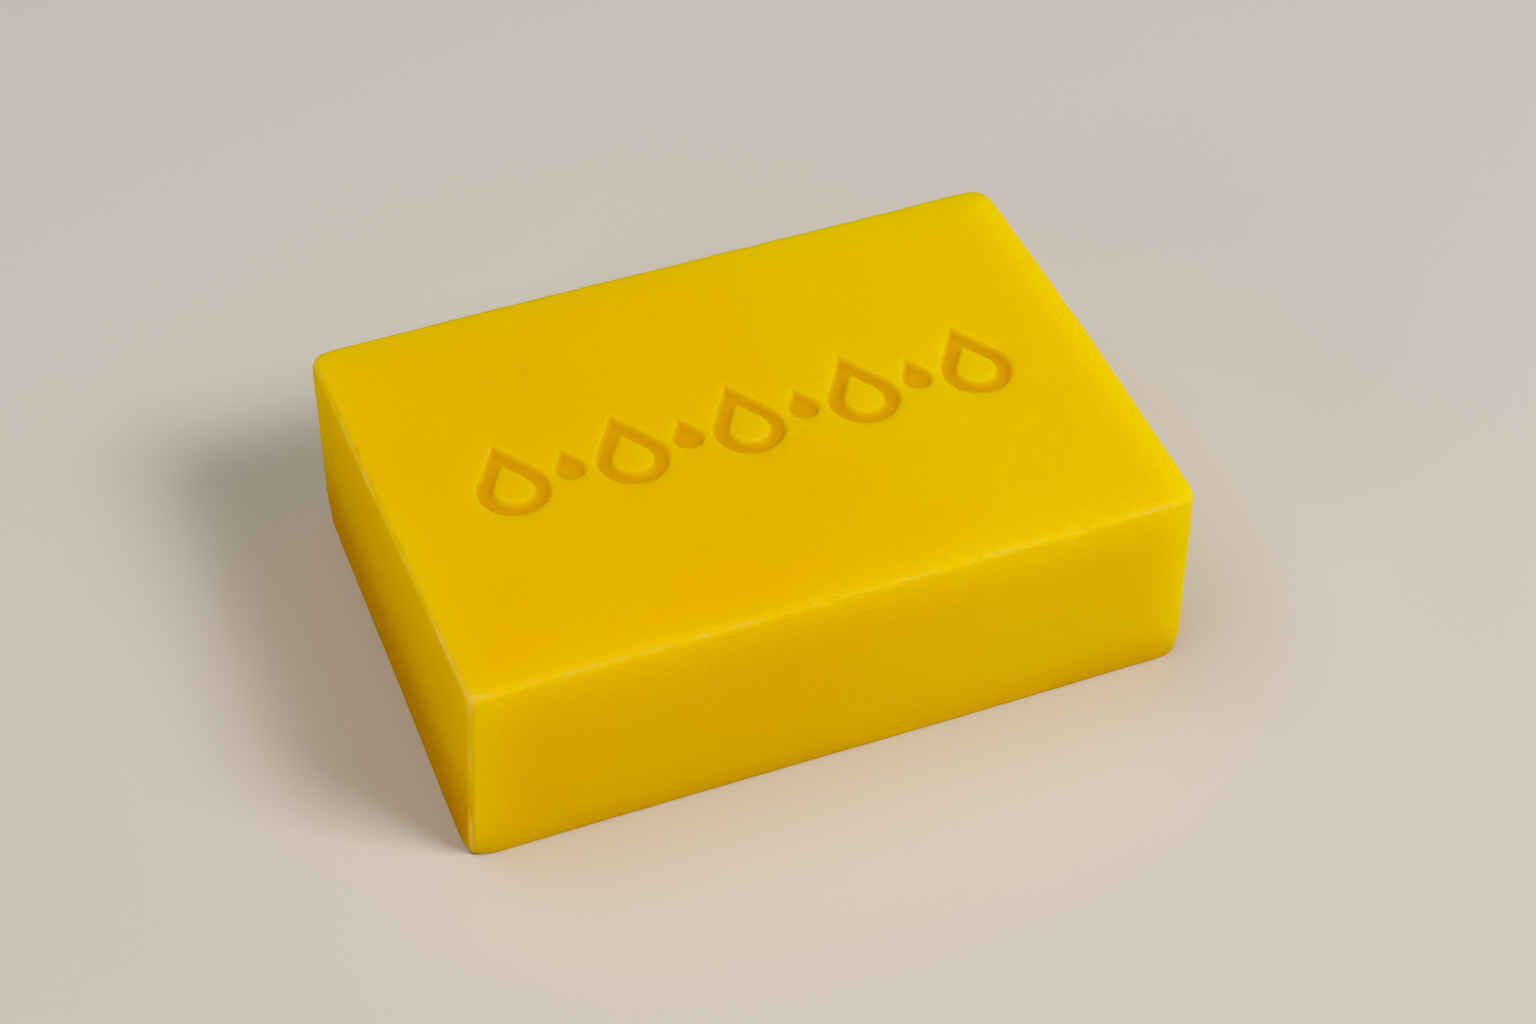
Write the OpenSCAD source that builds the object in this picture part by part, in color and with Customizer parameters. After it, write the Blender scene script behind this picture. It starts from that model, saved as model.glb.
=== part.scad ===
// Detailing clay bar: one solid block of kneadable polymer clay, moulded in one
// piece, with a row of water drops pressed into its top face.
// Millimetres. The origin is the middle of the underside, +X runs along the
// length, +Y towards the back and +Z up.

/* [Bar] */
// Length of the bar, end to end
bar_length = 85; // [76:0.5:110]
// Width of the bar, front to back
bar_width = 59; // [45:0.5:80]
// Thickness of the bar, from the underside to the top face
bar_height = 25.5; // [12:0.5:40]

/* [Edges] */
// Radius of the four upright corners, seen from above
corner_radius = 2.2; // [1:0.1:6]
// Radius along the edges of the top face and the underside
rim_radius = 0.9; // [0.3:0.1:3]

/* [Pressed drops] */
// How far the middle of the row lies behind the middle of the bar
row_offset = 0.9; // [-8:0.1:8]
// Number of outlined drops, with a small one between each two
drop_count = 5; // [2:1:5]
// Radius of an outlined drop's round belly
drop_radius = 4.2; // [3:0.1:4.6]
// Height of an outlined drop, from its belly to its tip
drop_height = 12; // [10.5:0.1:16]
// Width of the groove that outlines a drop
groove_width = 2; // [0.8:0.1:2.6]
// Radius of a small drop's round belly
small_radius = 1.85; // [1:0.05:2.2]
// Clay left standing between a small drop and its neighbours
land_width = 0.9; // [0.5:0.1:1.2]
// Depth of the pressing
press_depth = 0.8; // [0.3:0.1:2]

/* [Hidden] */

$fn = 72;
// Overshoot of a cutting shape past the face that it cuts
cut_over = 1;
clay_yellow = "#e6bc00";

// A drop's tip lies this many belly radii from the belly's centre
tip_reach = drop_height / drop_radius - 1;
// Half the angle between the two straight flanks that meet at the tip
flank_angle = asin(1 / tip_reach);
island_radius = drop_radius - groove_width;
drop_pitch = 2 * (drop_radius + land_width + small_radius);
row_length = 2 * drop_radius + (drop_count - 1) * drop_pitch;

// A rectangle about the origin, with round corners
module rounded_rectangle(size, radius) {
    square([size.x - 2 * radius, size.y], center = true);
    square([size.x, size.y - 2 * radius], center = true);
    for (x = [-1, 1], y = [-1, 1])
        translate([x * (size.x / 2 - radius), y * (size.y / 2 - radius)])
            circle(r = radius);
}

// A water drop with its belly's centre at the origin and its tip towards +Y
module drop(belly) {
    circle(r = belly);
    polygon([
        [0, 0],
        [belly * cos(flank_angle), belly * sin(flank_angle)],
        [0, belly * tip_reach],
        [-belly * cos(flank_angle), belly * sin(flank_angle)]
    ]);
}

// Moves a drop so that the middle of its height lies on the x axis
module level(belly) {
    translate([0, -belly * (tip_reach - 1) / 2]) children();
}

module outlined_drop() {
    level(drop_radius) difference() {
        drop(drop_radius);
        drop(island_radius);
    }
}

module small_drop() {
    level(small_radius) drop(small_radius);
}

// The row of drops, outlined and small in turn, seen from above
module drop_row() {
    first_x = drop_radius - row_length / 2;
    for (i = [0 : drop_count - 1])
        translate([first_x + i * drop_pitch, row_offset])
            outlined_drop();
    for (i = [0 : drop_count - 2])
        translate([first_x + (i + 0.5) * drop_pitch, row_offset])
            small_drop();
}

// The block as it leaves the mould: three crossing prisms, one for each way
// that its edges are rounded
module moulded_block() {
    intersection() {
        linear_extrude(bar_height)
            rounded_rectangle([bar_length, bar_width], corner_radius);
        translate([0, bar_width / 2, bar_height / 2])
            rotate([90, 0, 0])
                linear_extrude(bar_width)
                    rounded_rectangle([bar_length, bar_height], rim_radius);
        translate([-bar_length / 2, 0, bar_height / 2])
            rotate([90, 0, 90])
                linear_extrude(bar_length)
                    rounded_rectangle([bar_width, bar_height], rim_radius);
    }
}

module clay_bar() {
    color(clay_yellow) difference() {
        moulded_block();
        translate([0, 0, bar_height - press_depth])
            linear_extrude(press_depth + cut_over)
                drop_row();
    }
}

clay_bar();
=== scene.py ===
import math

import bmesh
import bpy
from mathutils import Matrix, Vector, noise


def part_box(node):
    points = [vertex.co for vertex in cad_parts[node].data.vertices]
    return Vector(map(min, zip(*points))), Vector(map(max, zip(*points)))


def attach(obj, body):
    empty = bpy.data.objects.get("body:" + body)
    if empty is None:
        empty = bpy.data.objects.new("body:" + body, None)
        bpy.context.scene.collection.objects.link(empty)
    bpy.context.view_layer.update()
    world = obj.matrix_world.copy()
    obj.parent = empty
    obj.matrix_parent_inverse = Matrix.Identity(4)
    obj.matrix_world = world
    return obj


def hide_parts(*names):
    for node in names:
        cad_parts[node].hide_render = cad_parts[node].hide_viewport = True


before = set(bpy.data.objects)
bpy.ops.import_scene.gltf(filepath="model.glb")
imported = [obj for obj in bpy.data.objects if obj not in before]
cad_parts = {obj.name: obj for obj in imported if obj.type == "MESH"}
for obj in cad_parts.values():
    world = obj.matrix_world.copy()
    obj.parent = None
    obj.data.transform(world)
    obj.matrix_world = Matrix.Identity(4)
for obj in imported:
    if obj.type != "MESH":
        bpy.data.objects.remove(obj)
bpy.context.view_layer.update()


# ---------------------------------------------------------------- The clay block
# A bar of detailing clay: one solid block of kneadable polymer clay that is filled
# with a fine abrasive. It is pressed in a mould and turned out while it is still
# soft, so its faces are not quite flat or square and its edges are blunt.

# The script's own unit: the block is shaped in millimetres and then scaled by this
MM = 0.001

low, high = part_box("clay_bar")
length, width, height = (high - low) / MM

# Radius of each upright corner, which the mould and handling left unlike:
# (left or right, front or back)
upright_radius = {(-1, -1): 1, (-1, 1): 1.8, (1, -1): 2, (1, 1): 1.9}
top_radius = 0.9
foot_radius = 0.3
# Width of the squares that plain faces are divided into before they are shaped
square = 1.6
# Two points nearer than this count as one
touching = 0.01


def round_off(mesh, edges, radius, segments):
    """Rolls the edges over to a radius."""
    bmesh.ops.bevel(
        mesh, geom=edges, offset=radius, offset_type="OFFSET", segments=segments,
        profile=0.5, affect="EDGES", material=-1,
    )


def cut_across(mesh, axis, place):
    """Cuts the whole mesh square to an axis, at a place on it."""
    normal = Vector([float(i == axis) for i in range(3)])
    bmesh.ops.bisect_plane(
        mesh, geom=mesh.verts[:] + mesh.edges[:] + mesh.faces[:], dist=0.001,
        plane_co=normal * place, plane_no=normal,
    )


# The block stands about its own middle while it is cut and rounded
block = bmesh.new()
bmesh.ops.create_cube(block, size=1)
bmesh.ops.scale(block, vec=(length, width, height), verts=block.verts)
for (side, end), radius in upright_radius.items():
    corner = Vector((side * length / 2, end * width / 2, 0))
    upright = [
        e for e in block.edges
        if all((v.co - corner).xy.length < touching for v in e.verts)
    ]
    round_off(block, upright, radius, round(3 * radius) + 2)
for level, radius in ((height / 2, top_radius), (-height / 2, foot_radius)):
    rim = [
        e for e in block.edges
        if all(abs(v.co.z - level) < touching for v in e.verts)
    ]
    round_off(block, rim, radius, 3)
widest_radius = max(upright_radius.values())
tightest_radius = min(upright_radius.values())
margins = (widest_radius, widest_radius, top_radius)
for axis, size in enumerate((length, width, height)):
    reach = size / 2 - margins[axis]
    count = round(2 * reach / square)
    for step in range(count + 1):
        cut_across(block, axis, 2 * reach * step / count - reach)
    for side in (-1, 1):
        cut_across(block, axis, side * (size / 2 - tightest_radius))


# The pressed row: five outlined water drops with a small solid drop between each
# two, all with their tips to the back. The sizes are those of the solid model.
drop_count = 5
drop_radius = 4.2
drop_height = 12
groove_width = 2
small_radius = 1.85
land_width = 0.9
row_offset = 0.9
press_depth = 0.8

tip_reach = drop_height / drop_radius - 1
flank_angle = math.asin(1 / tip_reach)
drop_pitch = 2 * (drop_radius + land_width + small_radius)


def drop_distance(x, y, belly):
    """Distance from a drop's outline, below 0 inside it. Its belly is about 0, 0."""
    x = abs(x)
    along = y * math.cos(flank_angle) - x * math.sin(flank_angle)
    if along < 0:
        return math.hypot(x, y) - belly
    if along > belly * tip_reach * math.cos(flank_angle):
        return math.hypot(x, y - belly * tip_reach)
    return x * math.cos(flank_angle) + y * math.sin(flank_angle) - belly


def depth_inside(x, y):
    """How far a point lies inside the pressed row, and below 0 outside it."""
    inside = []
    for i in range(2 * drop_count - 1):
        across = x - (i - drop_count + 1) / 2 * drop_pitch
        outlined = i % 2 == 0
        belly = drop_radius if outlined else small_radius
        up = y - row_offset + belly * (tip_reach - 1) / 2
        distance = -drop_distance(across, up, belly)
        if outlined:
            island = drop_distance(across, up, drop_radius - groove_width)
            distance = min(distance, island)
        inside.append(distance)
    return max(inside)


# Where handling has dented the clay: place about the block's middle, reach and
# depth of the dent. Below 0 it is a burr that stands out. The first eleven lie on
# the top edges of the block, the others are pits in its faces.
dents = [
    ((-2, -29.5, 12.75), 1.6, 0.18),
    ((-0.4, -29.3, 12.75), 0.7, -0.12),
    ((14.6, -29.5, 12.75), 1.9, 0.16),
    ((16.2, -29.2, 12.75), 0.6, -0.1),
    ((27.5, -29.5, 12.75), 1.5, 0.24),
    ((29, -29.2, 12.75), 0.7, -0.13),
    ((-21, -29.5, 12.75), 2.2, 0.13),
    ((-42.5, 12, 12.75), 1.4, 0.2),
    ((-42.5, -4, 12.75), 1.8, 0.14),
    ((42.5, 6, 12.75), 2.2, 0.13),
    ((12, 29.5, 12.75), 1.4, 0.1),
    ((21.7, -29.5, 2.2), 0.8, 0.1),
    ((1.2, -29.5, -4), 0.6, 0.08),
    ((-27, -29.5, -8.3), 0.6, 0.08),
    ((33, -29.5, -7), 0.7, 0.08),
    ((-42.5, 14, 3), 0.7, 0.09),
    ((-28, 17, 12.75), 0.7, 0.06),
    ((12, -19, 12.75), 0.6, 0.05),
    ((35, 20, 12.75), 0.7, 0.06),
    ((-14, 29.5, 3), 0.8, 0.09),
    ((42.5, -9, -3), 0.8, 0.09),
]


def edge_gap(point):
    """How far a point lies from the nearest edge of the block."""
    gaps = sorted((
        length / 2 - abs(point.x), width / 2 - abs(point.y), height / 2 - abs(point.z),
    ))
    return math.hypot(gaps[0], gaps[1])


# The sides of the squares are cut into more parts close to the block's edges, with
# fewer of them along its foot, and near the outline of the pressed row: the number
# of parts, and how far from the outline that begins
edge_band = 1.6
edge_parts = 4
foot_band = 2
foot_parts = 2
outline_parts = ((2, 2.6), (4, 1.7), (8, 1), (16, 0.45))
finest_square = square / 16


def widest_square(point):
    """How wide the squares may be at a point, for what is to be shaped there."""
    widest = square
    if edge_gap(point) < edge_band:
        on_foot = point.z <= foot_band - height / 2
        widest = square / (foot_parts if on_foot else edge_parts)
    if point.z > height / 2 - touching:
        outline_gap = abs(depth_inside(point.x, point.y))
        for parts, reach in outline_parts:
            if outline_gap < reach:
                widest = min(widest, square / parts)
    for at, reach, depth in dents:
        if (point - Vector(at)).length < 1.3 * reach:
            widest = min(widest, max(reach / 6, finest_square))
    return widest


# Each pass halves the squares that are still too wide
for halving in range(4):
    for face in block.faces:
        longest = max(e.calc_length() for e in face.edges)
        widest = widest_square(face.calc_center_median())
        face.tag = len(face.verts) == 4 and longest > 1.4 * widest
    bmesh.ops.subdivide_edges(
        block, cuts=1, use_grid_fill=True,
        edges=[e for e in block.edges if any(f.tag for f in e.link_faces)],
    )


def smooth_step(value, start, end):
    """0 before start, 1 after end, and a smooth climb between them."""
    share = min(1, max(0, (value - start) / (end - start)))
    return share * share * (3 - 2 * share)


def fade(gap, reach):
    """1 where there is no gap, and a smooth fall to 0 at the reach."""
    return 1 - smooth_step(gap, 0, reach)


def facing(share):
    """1 where a surface faces along an axis, 0 where it is turned well away."""
    return smooth_step(share, 0.2, 0.8)


def ripple(point, size, shift=0):
    """Smooth noise of about -1 to 1 whose swells are about size apart.

    The shift gives each kind of unevenness a pattern of its own.
    """
    return 2 * noise.noise(point / size + Vector((shift, 1.7 * shift, 0)))


# The lip of a groove is tight, and its wall runs out softly into the floor: the
# higher the power, the steeper the wall is at its top
lip_radius = 0.05
wall_width = 0.65
wall_power = 2.4
# Further than this outside a groove, the stamp hasn't moved the clay
lip_reach = 0.6
# Deeper inside than this, the wall is long past, and its formula needn't go on
floor_reach = 2


def pressed_by(inside):
    """How deep the stamp has pushed the clay, from 0 to 1."""
    if inside < -lip_reach:
        return 0
    inside = min(inside, floor_reach)
    run = lip_radius * math.log1p(math.exp(inside / lip_radius)) / wall_width
    return 1 - max(0, 1 - run) ** wall_power


# How far each corner is moved along X, as the block isn't quite square:
# (left or right, front or back, bottom or top)
corner_shift = {
    (-1, -1, -1): -1.3, (-1, 1, -1): -1.1, (-1, -1, 1): 0.2, (-1, 1, 1): -1.1,
    (1, -1, -1): 0.6, (1, 1, -1): 0, (1, -1, 1): 0.35, (1, 1, 1): -0.1,
}
# How far the middle of the right end bows out
right_bow = 0.45
# How far each corner is worn down towards the middle, in the same order, and how
# far from the corner that wear reaches
corner_wear = {
    (-1, -1, -1): 0.6, (-1, 1, -1): 0.4, (-1, -1, 1): 0.1, (-1, 1, 1): 0.15,
    (1, -1, -1): 0.35, (1, 1, -1): 0.5, (1, -1, 1): 0.1, (1, 1, 1): 0.25,
}
corner_reach = 3.6
# How far the faces swell, the skin ripples, the edges are worn and the outline of
# the pressed row wanders, each with how far apart its swells are
swell = 0.06
swell_size = 22
skin_ripple = 0.02
skin_ripple_size = 6
ridge_wear = 0.05
ridge_wear_size = 2.6
outline_wander = 0.05
outline_wander_size = 3.1
# The share by which the depth of the pressing varies, and over what distance
press_change = 0.06
press_change_size = 9


def out_of_square(point):
    """How far the clay at a point has moved along X in the making."""
    share = Vector((2 * point.x / length, 2 * point.y / width, 2 * point.z / height))
    shift = 0
    for corner, out in corner_shift.items():
        weight = 1
        for side, part in zip(corner, share):
            weight *= (1 + side * part) / 2
        shift += weight * out
    return Vector((shift + right_bow * (1 - share.y ** 2) * (1 + share.x) / 2, 0, 0))


def nearest_corner(point):
    """The nearest corner of the block, and its distance from a point."""
    corner = tuple(1 if part > 0 else -1 for part in point)
    tip = Vector((corner[0] * length, corner[1] * width, corner[2] * height)) / 2
    return corner, (point - tip).length


def dented(point):
    """How deep the dents are at a point."""
    deep = 0
    for at, reach, depth in dents:
        share = (point - Vector(at)).length / reach
        if share < 1:
            deep += depth * (1 - share * share) ** 2
    return deep


# How much pale rub, which is partly a painted highlight, the clay has along its edges, how
# much more at the edges of its ends, and how much about its corners and along the lips
# of the grooves
edge_rub = 0.5
end_rub = 0.45
corner_rub = 0.35
lip_rub = 0.5
# Where the rub of a corner starts to fade and where it ends, and how wide the
# line along a lip is
corner_rub_fades = 1.2
corner_rub_ends = 4
lip_line = 0.15
# How far a surface is turned away from all three axes, as on an edge, where the
# wear begins, where it is full and where the rub is full
wear_begins = 0.02
wear_full = 0.25
rub_full = 0.14
# Light crosses less clay near an edge, and that is painted in as a lemon glow. How much
# of that painted glow shows on the top face by the right end, and on the sides under the
# rim and beside an end, and from how far in
right_glow = 0.65
right_glow_reach = 5
rim_glow = 0.25
end_glow = 0.35
side_glow_reach = 9
# How far in from an edge less light is let in
near_edge_reach = 3.5
# Painted shade: the left end, turned away from the light, is a deeper colour all over,
# and more so near its foot. The heights above the foot between which that fades
deep_all_over = 0.15
deep_at_foot = 0.8
deep_below = 2
deep_up_to = 17

# What the material reads at each point, from 0 to 1
block.normal_update()
pale_rub_and_highlight = block.verts.layers.float.new("pale_rub_and_highlight")
pressed = block.verts.layers.float.new("pressed")
painted_glow = block.verts.layers.float.new("painted_glow")
near_edge = block.verts.layers.float.new("near_edge")
at_end = block.verts.layers.float.new("at_end")
painted_shade_end = block.verts.layers.float.new("painted_shade_end")
shaped = []
for vert in block.verts:
    place = vert.co.copy()
    aslant = 1 - max(abs(part) for part in vert.normal)
    ridge = smooth_step(aslant, wear_begins, wear_full)
    corner, corner_gap = nearest_corner(place)
    push = swell * ripple(place, swell_size)
    push += skin_ripple * ripple(place, skin_ripple_size, 5) - dented(place)
    push -= ridge * ridge_wear * (0.6 + ripple(place, ridge_wear_size, 9))
    moved = place + vert.normal * push + out_of_square(place)
    worn = corner_wear[corner] * fade(corner_gap, corner_reach)
    moved -= Vector(corner).normalized() * worn
    # A wide upright is rubbed less than a tight edge
    turn = facing(abs(vert.normal.x))
    rub = smooth_step(aslant, 0, rub_full) * (edge_rub + end_rub * turn)
    if abs(vert.normal.z) < 0.2:
        rub *= top_radius / upright_radius[corner[:2]]
    past_corner = smooth_step(corner_gap, corner_rub_fades, corner_rub_ends)
    rub = max(rub, corner_rub * (1 - past_corner))
    depth = 0
    if place.z > height / 2 - touching:
        wander = outline_wander * ripple(place, outline_wander_size, 2)
        inside = depth_inside(place.x, place.y) + wander
        depth = pressed_by(inside)
        change = press_change * ripple(place, press_change_size, 4)
        moved.z -= press_depth * depth * (1 + change)
        rub = max(rub, lip_rub * math.exp(-(inside / lip_line) ** 2))
    vert[pale_rub_and_highlight] = rub
    vert[pressed] = depth
    vert[at_end] = turn
    # The painted glow: by the right end on the top face, and under the rim and beside the
    # ends on the sides
    upward = smooth_step(vert.normal.z, 0.3, 0.9)
    top_glow = right_glow * fade(length / 2 - place.x, right_glow_reach)
    beside_end = fade(length / 2 - abs(place.x), side_glow_reach) * abs(vert.normal.y)
    under_rim = fade(height / 2 - place.z, side_glow_reach)
    side_glow = rim_glow * under_rim + end_glow * beside_end
    vert[painted_glow] = top_glow * upward + side_glow * (1 - upward)
    vert[near_edge] = fade(edge_gap(place), near_edge_reach)
    # Painted shade on the left end, deeper towards its foot
    low_down = 1 - smooth_step(place.z + height / 2, deep_below, deep_up_to)
    painted_shade_depth = deep_all_over + deep_at_foot * low_down
    vert[painted_shade_end] = facing(-vert.normal.x) * painted_shade_depth
    shaped.append(moved)
for vert, moved in zip(block.verts, shaped):
    vert.co = moved
bmesh.ops.translate(block, vec=(0, 0, height / 2), verts=block.verts)
bmesh.ops.scale(block, vec=(MM, MM, MM), verts=block.verts)
for face in block.faces:
    face.smooth = True

clay_mesh = bpy.data.meshes.new("clay_block")
block.to_mesh(clay_mesh)
block.free()
clay_block = bpy.data.objects.new("clay_block", clay_mesh)
bpy.context.scene.collection.objects.link(clay_block)


def colour(code):
    """An sRGB hex colour as the linear values that the nodes take."""
    parts = [int(code[i:i + 2], 16) / 255 for i in (1, 3, 5)]
    return [p / 12.92 if p < 0.04045 else ((p + 0.055) / 1.055) ** 2.4 for p in parts] + [1]


def add_node(tree, kind, inputs=None, **settings):
    """Adds a node. Each input is given a value, or the socket that it is linked to."""
    made = tree.nodes.new(kind)
    for name, value in settings.items():
        setattr(made, name, value)
    for name, value in (inputs or {}).items():
        if isinstance(value, bpy.types.NodeSocket):
            tree.links.new(value, made.inputs[name])
        else:
            made.inputs[name].default_value = value
    return made


# Moulded polymer clay: waxy and translucent. Light soaks in and comes out again
# millimetres away, so edges glow and the shaded end stays warm; a painted glow and painted
# shade add to that. Handling rubs a pale bloom on to the edges, which is partly a painted
# highlight.
clay = bpy.data.materials.new("moulded_polymer_clay")
clay.use_nodes = True
tree = clay.node_tree
tree.nodes.clear()
position = add_node(tree, "ShaderNodeTexCoord").outputs["Object"]
clouds = add_node(
    tree, "ShaderNodeTexNoise", {"Vector": position, "Scale": 1 / (28 * MM), "Detail": 2},
)
along = add_node(tree, "ShaderNodeSeparateXYZ", {0: position}).outputs
# The clay is faintly cloudy. It is also a shade more lemon to the right: a painted glow
# of the light that falls from that side
lemon = add_node(
    tree, "ShaderNodeMapRange",
    {"Value": along["X"], "From Min": -5 * MM, "From Max": 42 * MM, "To Max": 0.8},
    interpolation_type="SMOOTHSTEP",
)
cloudiness_and_painted_glow = add_node(
    tree, "ShaderNodeMath", {0: clouds.outputs["Fac"], 1: lemon.outputs[0]},
    operation="ADD", use_clamp=True,
)
body = add_node(
    tree, "ShaderNodeMix",
    {0: cloudiness_and_painted_glow.outputs[0], 6: colour("#EAB400"), 7: colour("#EAC400")},
    data_type="RGBA",
)
# Painted glow: near an end or a rim the light crosses less clay, which leaves it more
# lemon, most of all by the lit right end
at_glow = add_node(tree, "ShaderNodeAttribute", attribute_name="painted_glow")
with_painted_glow = add_node(
    tree, "ShaderNodeMix",
    {0: at_glow.outputs["Fac"], 6: body.outputs[2], 7: colour("#FAD000")},
    data_type="RGBA",
)
# Painted shade: the left end, turned away from the light, is a deeper orange towards its
# foot. This partly stands in for the warm light that a cloth under the bar would throw
# back there.
painted_shade_reader = add_node(tree, "ShaderNodeAttribute", attribute_name="painted_shade_end")
with_painted_shade = add_node(
    tree, "ShaderNodeMix",
    {0: painted_shade_reader.outputs["Fac"], 6: with_painted_glow.outputs[2], 7: colour("#C88200")},
    data_type="RGBA",
)
# Below 8 mm each face fades to a foot colour: painted shade, a deeper orange, on the left
# end, and painted light, a brighter yellow, that lifts the shaded foot of the other faces
above_foot = add_node(
    tree, "ShaderNodeMapRange", {"Value": along["Z"], "From Max": 8 * MM},
    interpolation_type="SMOOTHSTEP",
)
painted_foot_colour = add_node(
    tree, "ShaderNodeMix",
    {0: painted_shade_reader.outputs["Fac"], 6: colour("#F2B800"), 7: colour("#C88200")},
    data_type="RGBA",
)
painted_foot_light_and_shade = add_node(
    tree, "ShaderNodeMix",
    {0: above_foot.outputs[0], 6: painted_foot_colour.outputs[2], 7: with_painted_shade.outputs[2]},
    data_type="RGBA",
)
# Painted shade: the grooves are a deeper yellow, most on their floors, where shade falls in
# them
groove_shade_mask = add_node(tree, "ShaderNodeAttribute", attribute_name="pressed")
painted_groove_shade = add_node(
    tree, "ShaderNodeMix",
    {0: groove_shade_mask.outputs["Fac"], 6: painted_foot_light_and_shade.outputs[2], 7: colour("#E0AE00")},
    data_type="RGBA",
)
rub_and_highlight_mask = add_node(tree, "ShaderNodeAttribute", attribute_name="pale_rub_and_highlight")
patches = add_node(
    tree, "ShaderNodeTexNoise", {"Vector": position, "Scale": 1 / (5 * MM), "Detail": 6},
)
patchy = add_node(
    tree, "ShaderNodeMapRange",
    {"Value": patches.outputs["Fac"], "From Min": 0.38, "From Max": 0.66, "To Min": 0.4},
)
# The pale rub on the edges and lips is partly wear and partly a painted highlight
rub_and_highlight_amount = add_node(
    tree, "ShaderNodeMath", {0: rub_and_highlight_mask.outputs["Fac"], 1: patchy.outputs[0]},
    operation="MULTIPLY",
)
on_end = add_node(tree, "ShaderNodeAttribute", attribute_name="at_end")
rub_and_highlight_colour = add_node(
    tree, "ShaderNodeMix",
    {0: on_end.outputs["Fac"], 6: colour("#DAC074"), 7: colour("#F8D070")},
    data_type="RGBA",
)
rub_and_highlight_mix = add_node(
    tree, "ShaderNodeMix",
    {0: rub_and_highlight_amount.outputs[0], 6: painted_groove_shade.outputs[2], 7: rub_and_highlight_colour.outputs[2]},
    data_type="RGBA",
)
# The abrasive is far finer than this grain, which is as coarse as it needs to show
grain = add_node(
    tree, "ShaderNodeTexNoise", {"Vector": position, "Scale": 1 / (0.35 * MM), "Detail": 2},
)
speckled = add_node(
    tree, "ShaderNodeMix",
    {
        0: add_node(
            tree, "ShaderNodeMapRange",
            {"Value": grain.outputs["Fac"], "From Min": 0.3, "From Max": 0.7, "To Max": 0.12},
        ).outputs[0],
        6: rub_and_highlight_mix.outputs[2],
        7: colour("#C89400"),
    },
    data_type="RGBA",
)
# Soft hollows left by the mould and by fingers, and the grain on top of them
hollows = add_node(
    tree, "ShaderNodeTexNoise", {"Vector": position, "Scale": 1 / (3.5 * MM), "Detail": 1},
)
uneven = add_node(
    tree, "ShaderNodeBump",
    {"Height": hollows.outputs["Fac"], "Strength": 0.5, "Distance": 0.12 * MM},
)
bump = add_node(
    tree, "ShaderNodeBump",
    {
        "Height": grain.outputs["Fac"],
        "Strength": 0.5,
        "Distance": 0.02 * MM,
        "Normal": uneven.outputs[0],
    },
)
sheen = add_node(
    tree, "ShaderNodeMapRange",
    {"Value": patches.outputs["Fac"], "To Min": 0.42, "To Max": 0.58},
)
# Less light is let in along the edges, where it would come out again on the
# shaded side and leave a green fringe
at_edge = add_node(tree, "ShaderNodeAttribute", attribute_name="near_edge")
soaked = add_node(
    tree, "ShaderNodeMapRange",
    {"Value": at_edge.outputs["Fac"], "To Min": 0.95, "To Max": 0.35},
)
waxy = add_node(
    tree, "ShaderNodeBsdfPrincipled",
    {
        "Base Color": speckled.outputs[2],
        "Roughness": sheen.outputs[0],
        "IOR": 1.48,
        "Specular IOR Level": 0.08,
        "Subsurface Weight": soaked.outputs[0],
        "Subsurface Radius": (1, 1, 0.1),
        "Subsurface Scale": 11 * MM,
        "Normal": bump.outputs[0],
    },
)
add_node(tree, "ShaderNodeOutputMaterial", {"Surface": waxy.outputs[0]})
clay_mesh.materials.append(clay)

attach(clay_block, "root")
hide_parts("clay_bar")


# ---------------------------------------------------------------- The studio
# A plain pale table in a dim room, with a soft window-like light to the right, a
# weak one overhead and a low warm one to the left, seen from above the left front
# corner. Places and sizes here are in metres.

floor_mesh = bpy.data.meshes.new("floor")
ground = bmesh.new()
bmesh.ops.create_grid(ground, x_segments=1, y_segments=1, size=3)
ground.to_mesh(floor_mesh)
ground.free()
floor = bpy.data.objects.new("floor", floor_mesh)
bpy.context.scene.collection.objects.link(floor)
matte = bpy.data.materials.new("matte_paper")
matte.use_nodes = True
paper = matte.node_tree.nodes["Principled BSDF"].inputs
paper["Base Color"].default_value = colour("#CFC9C5")
paper["Roughness"].default_value = 0.9
floor_mesh.materials.append(matte)


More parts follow.
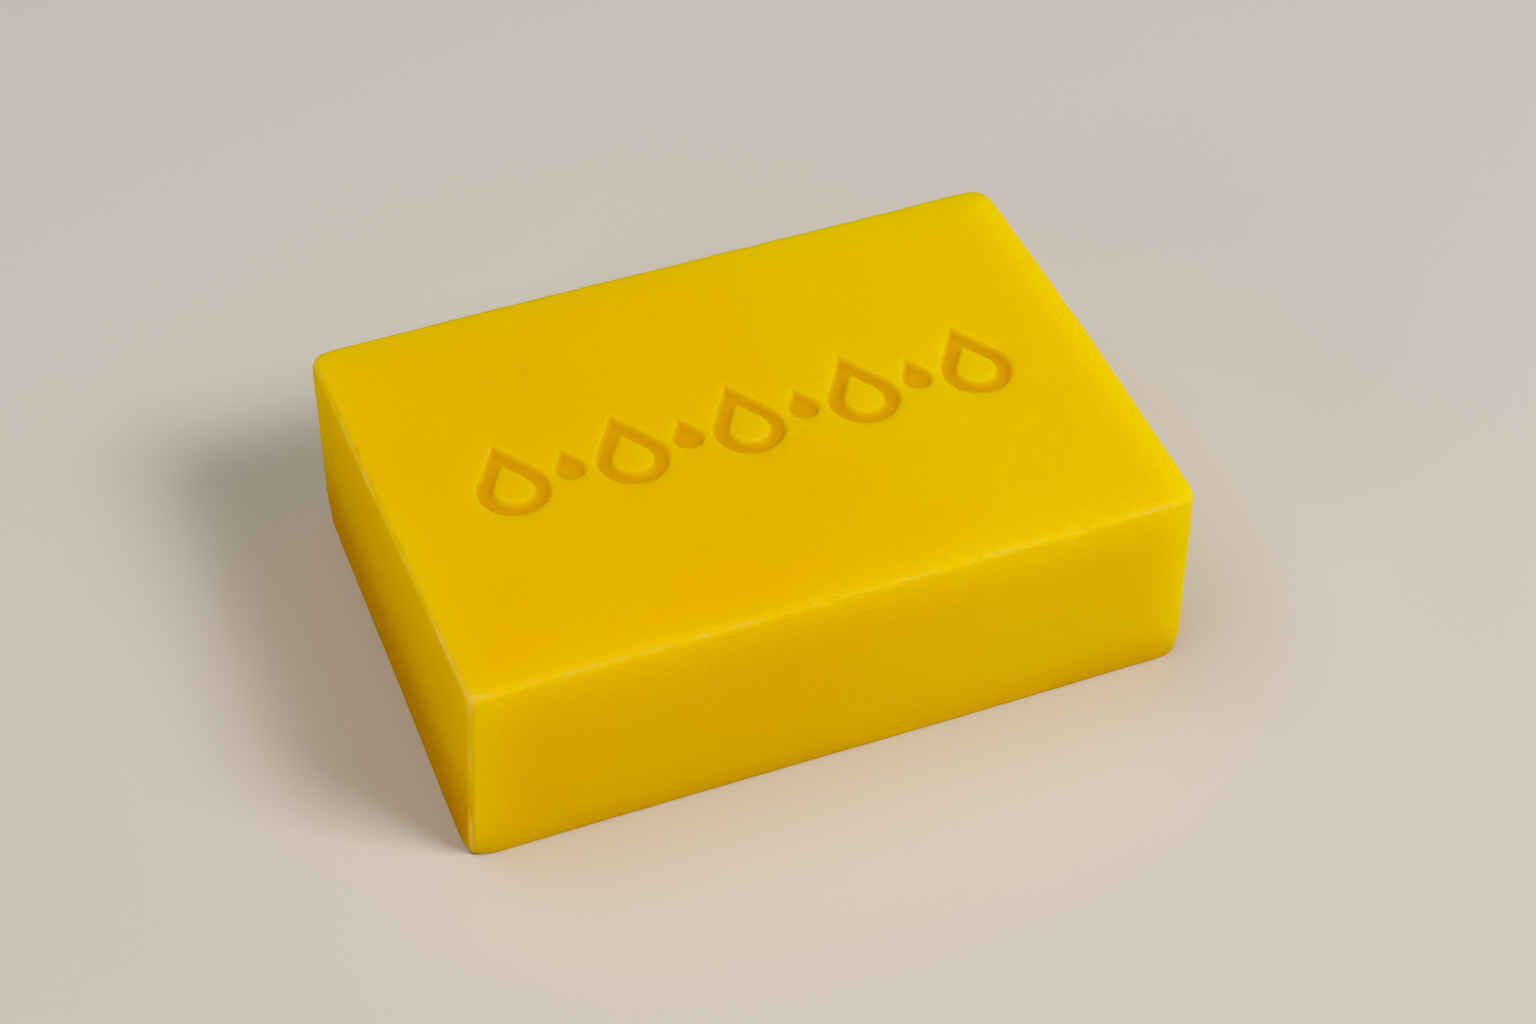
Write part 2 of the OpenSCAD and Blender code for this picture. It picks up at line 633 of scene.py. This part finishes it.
def soft_light(name, azimuth, elevation, distance, size, power, tint):
    """A square lamp aimed at the block. Azimuth 0 is +X and 90 is +Y."""
    lamp = bpy.data.lights.new(name, "AREA")
    lamp.size = size
    lamp.energy = power
    lamp.color = colour(tint)[:3]
    made = bpy.data.objects.new(name, lamp)
    a, e = math.radians(azimuth), math.radians(elevation)
    toward = Vector((math.cos(a) * math.cos(e), math.sin(a) * math.cos(e), math.sin(e)))
    made.location = toward * distance
    made.rotation_mode = "QUATERNION"
    made.rotation_quaternion = toward.to_track_quat("Z", "Y")
    bpy.context.scene.collection.objects.link(made)


soft_light("window_light", -45, 45, 1.3, 0.5, 12.2, "#FFFCF8")
soft_light("overhead_light", 150, 70, 1.2, 1.0, 5.8, "#FAFBFF")
soft_light("side_light", 205, 15, 1.2, 0.6, 3.2, "#FFEBCC")

room = bpy.data.worlds.new("dim_room")
room.use_nodes = True
backdrop = room.node_tree.nodes["Background"].inputs
backdrop["Color"].default_value = colour("#F4EFEA")
backdrop["Strength"].default_value = 0.13
bpy.context.scene.world = room
view = bpy.context.scene.view_settings
view.view_transform = "Standard"
# A warm print: the deepest blue is left out, as a saturated yellow needs
view.use_curve_mapping = True
view.curve_mapping.black_level = (0, 0, 0.045)
view.curve_mapping.update()

# The camera looks down on the left front corner, at a point close to the middle
camera_azimuth = math.radians(-21.05)
camera_elevation = math.radians(44.65)
camera_distance = 0.3707
aim = Vector((0.0017, -0.0024, height / 2 * MM))
back = Vector((
    math.sin(camera_azimuth) * math.cos(camera_elevation),
    -math.cos(camera_azimuth) * math.cos(camera_elevation),
    math.sin(camera_elevation),
))
camera_data = bpy.data.cameras.new("camera")
camera_data.sensor_width = 36
camera_data.lens = 74.73
camera_data.clip_start = 0.01
camera = bpy.data.objects.new("camera", camera_data)
camera.location = aim + back * camera_distance
camera.rotation_mode = "QUATERNION"
camera.rotation_quaternion = (-back).to_track_quat("-Z", "Y")
bpy.context.scene.collection.objects.link(camera)
bpy.context.scene.camera = camera
